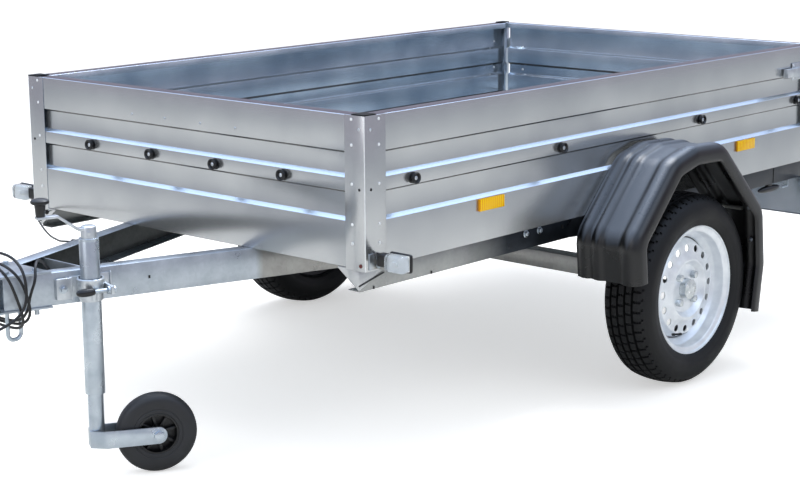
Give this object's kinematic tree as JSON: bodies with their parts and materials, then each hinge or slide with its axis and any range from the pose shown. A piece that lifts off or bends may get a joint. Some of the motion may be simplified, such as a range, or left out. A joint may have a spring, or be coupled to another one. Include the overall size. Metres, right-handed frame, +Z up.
{
  "type": "utility trailer",
  "caption": "Single-axle utility trailer with swaged sheet walls, hinged tailgate, V drawbar and jockey wheel.",
  "frame": {"origin": "on the ground below the middle of the trailer", "axes": "+X forward to the coupling, +Y to the trailer's left, +Z up"},
  "size_m": [2.9492, 1.7, 0.887],
  "materials": {
    "galvanised_sheet": "galvanised, glossy",
    "galvanised_frame": "hot-dip galvanised",
    "zinc_tube": "zinc plated",
    "zinc_pressing": "zinc plated",
    "film_plywood": "film-faced plywood",
    "black_moulding": "moulded polyethylene",
    "black_fitting": "moulded nylon",
    "clear_lens": "clear moulded acrylic",
    "red_lens": "red moulded acrylic",
    "amber_reflector": "amber reflex lens",
    "white_plate": "blank plate",
    "tyre_rubber": "tread rubber",
    "silver_rim": "silver lacquer",
    "zinc_hub": "zinc plated",
    "solid_tyre": "solid rubber",
    "cable_sheath": "PVC sheath"
  },
  "bodies": {
    "chassis": {"drawbar_left": "galvanised_frame", "drawbar_right": "galvanised_frame", "nose_plates": "galvanised_frame", "drawbar_tie": "galvanised_frame", "coupling_head": "zinc_pressing", "coupling_handle": "zinc_pressing", "nose_bail": "zinc_tube", "sill_left": "galvanised_frame", "sill_right": "galvanised_frame", "cross_members": "galvanised_frame", "corner_gussets": "galvanised_sheet", "floor_panel": "film_plywood", "front_panel": "galvanised_sheet", "side_panel_left": "galvanised_sheet", "side_panel_right": "galvanised_sheet", "front_posts": "galvanised_sheet", "rear_posts": "galvanised_sheet", "post_caps": "black_fitting", "cover_buttons": "black_fitting", "axle_tube": "galvanised_frame", "axle_brackets": "galvanised_frame", "swing_arms": "galvanised_frame", "mudguard_left": "black_moulding", "mudguard_right": "black_moulding", "mudguard_stays": "galvanised_frame", "front_lamp_bases": "black_fitting", "front_lamp_lenses": "clear_lens", "side_reflectors": "amber_reflector", "side_latches": "zinc_pressing", "frame_hinges": "zinc_pressing", "light_bar": "galvanised_frame", "tail_lamps": "black_fitting", "tail_lenses": "red_lens", "number_plate": "white_plate", "jockey_clamp": "zinc_pressing", "clamp_lever": "zinc_pressing", "wire_fittings": "black_fitting", "lamp_wire": "cable_sheath", "lead_tube": "cable_sheath", "lead_gland": "black_fitting", "lead_plug": "black_fitting"},
    "wheel_left": {"tyre_left": "tyre_rubber", "rim_left": "silver_rim", "hub_left": "zinc_hub"},
    "wheel_right": {"tyre_right": "tyre_rubber", "rim_right": "silver_rim", "hub_right": "zinc_hub"},
    "tailgate": {"tailgate_panel": "galvanised_sheet", "tailgate_hinges": "zinc_pressing", "tailgate_strikers": "zinc_pressing", "tailgate_buttons": "black_fitting"},
    "jockey_stem": {"jockey_tube": "zinc_tube", "jockey_crank": "zinc_pressing", "jockey_crank_grip": "black_fitting"},
    "jockey_fork": {"jockey_fork": "zinc_tube"},
    "jockey_wheel": {"jockey_tyre": "solid_tyre", "jockey_rim": "black_fitting"}
  },
  "joints": [
    {"name": "wheel_left_spin", "type": "hinge", "parent": "chassis", "child": "wheel_left", "pos_m": [-0.5166, 0.746, 0.2735], "axis": [0, 1, 0], "continuous": true},
    {"name": "wheel_right_spin", "type": "hinge", "parent": "chassis", "child": "wheel_right", "pos_m": [-0.5166, -0.746, 0.2735], "axis": [0, 1, 0], "continuous": true},
    {"name": "tailgate_hinge", "type": "hinge", "parent": "chassis", "child": "tailgate", "pos_m": [-1.4686, 0, 0.505], "axis": [0, -1, 0], "range_deg": [0, 175]},
    {"name": "jockey_clamp_slide", "type": "slide", "parent": "chassis", "child": "jockey_stem", "axis": [0, 0, 1], "range_m": [-0.05, 0.14]},
    {"name": "jockey_swivel", "type": "hinge", "parent": "jockey_stem", "child": "jockey_fork", "pos_m": [1.1024, 0.14819, 0.1], "axis": [0, 0, 1], "continuous": true},
    {"name": "jockey_wheel_spin", "type": "hinge", "parent": "jockey_fork", "child": "jockey_wheel", "pos_m": [0.97785, 0.22244, 0.1], "axis": [-0.512, -0.859, 0], "continuous": true}
  ]
}
